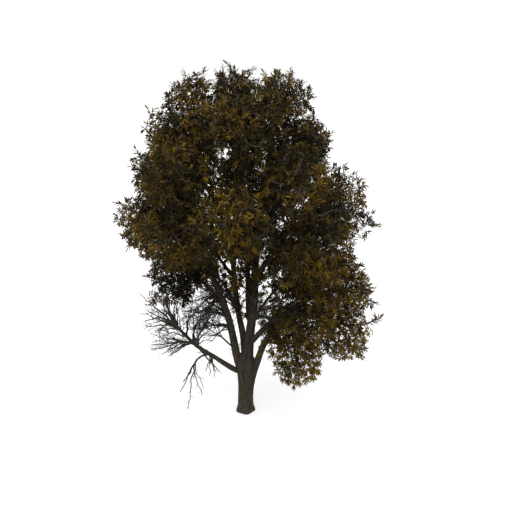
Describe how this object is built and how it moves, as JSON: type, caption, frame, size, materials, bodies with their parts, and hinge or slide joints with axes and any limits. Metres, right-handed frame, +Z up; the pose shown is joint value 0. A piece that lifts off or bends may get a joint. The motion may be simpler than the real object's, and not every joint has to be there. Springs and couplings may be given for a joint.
{
  "type": "oak tree",
  "caption": "Mature open-grown oak with a low-forking trunk, bronze late-season foliage in separate masses, and a low side bough that has died back to bare twigs.",
  "frame": {"origin": "middle of the flat cut under the trunk, at ground level", "axes": "+Z up along the trunk, -X towards the low dead bough, -Y towards the open side of the crown where the stems show"},
  "size_m": [11.95, 10.6212, 15.9511],
  "materials": {
    "bark": "furrowed grey-brown bark",
    "foliage": "matt late-season leaves, olive to bronze",
    "bare_twigs": "dead grey-brown twigs"
  },
  "bodies": {
    "root": {"bare_fan_lower": "bare_twigs", "bare_fan_upper": "bare_twigs", "bare_spray_hanging": "bare_twigs", "bare_thicket": "bare_twigs", "bare_twigs_under_bough": "bare_twigs", "bough_back": "bark", "bough_back_left": "bark", "bough_back_right": "bark", "bough_droop": "bark", "bough_front": "bark", "bough_front_left": "bark", "bough_front_right": "bark", "bough_hanging": "bark", "bough_left": "bark", "bough_low_back_left": "bark", "bough_low_back_right": "bark", "bough_low_left": "bark", "bough_lower_left": "bark", "bough_outer_left": "bark", "bough_right": "bark", "bough_stem_clump": "bark", "bough_thin_left": "bark", "foliage_crown_top": "foliage", "foliage_crown_top_back": "foliage", "foliage_crown_top_front": "foliage", "foliage_crown_top_left": "foliage", "foliage_crown_top_right": "foliage", "foliage_lower_back": "foliage", "foliage_lower_back_left": "foliage", "foliage_lower_back_right": "foliage", "foliage_lower_left": "foliage", "foliage_lower_right": "foliage", "foliage_lower_right_droop": "foliage", "foliage_lower_right_foot": "foliage", "foliage_lower_right_front": "foliage", "foliage_lower_right_inner": "foliage", "foliage_middle_back": "foliage", "foliage_middle_back_left": "foliage", "foliage_middle_back_right": "foliage", "foliage_middle_front": "foliage", "foliage_middle_front_left": "foliage", "foliage_middle_front_right": "foliage", "foliage_middle_left": "foliage", "foliage_middle_right": "foliage", "foliage_shoulder_left": "foliage", "foliage_stem_clump": "foliage", "foliage_upper_back_left": "foliage", "foliage_upper_back_right": "foliage", "foliage_upper_front_left": "foliage", "foliage_upper_front_right": "foliage", "foliage_upper_left": "foliage", "foliage_upper_right": "foliage", "leader": "bark", "leader_twin": "bark", "stem_left": "bark", "stem_middle": "bark", "stem_right": "bark", "trunk": "bark"}
  },
  "joints": []
}
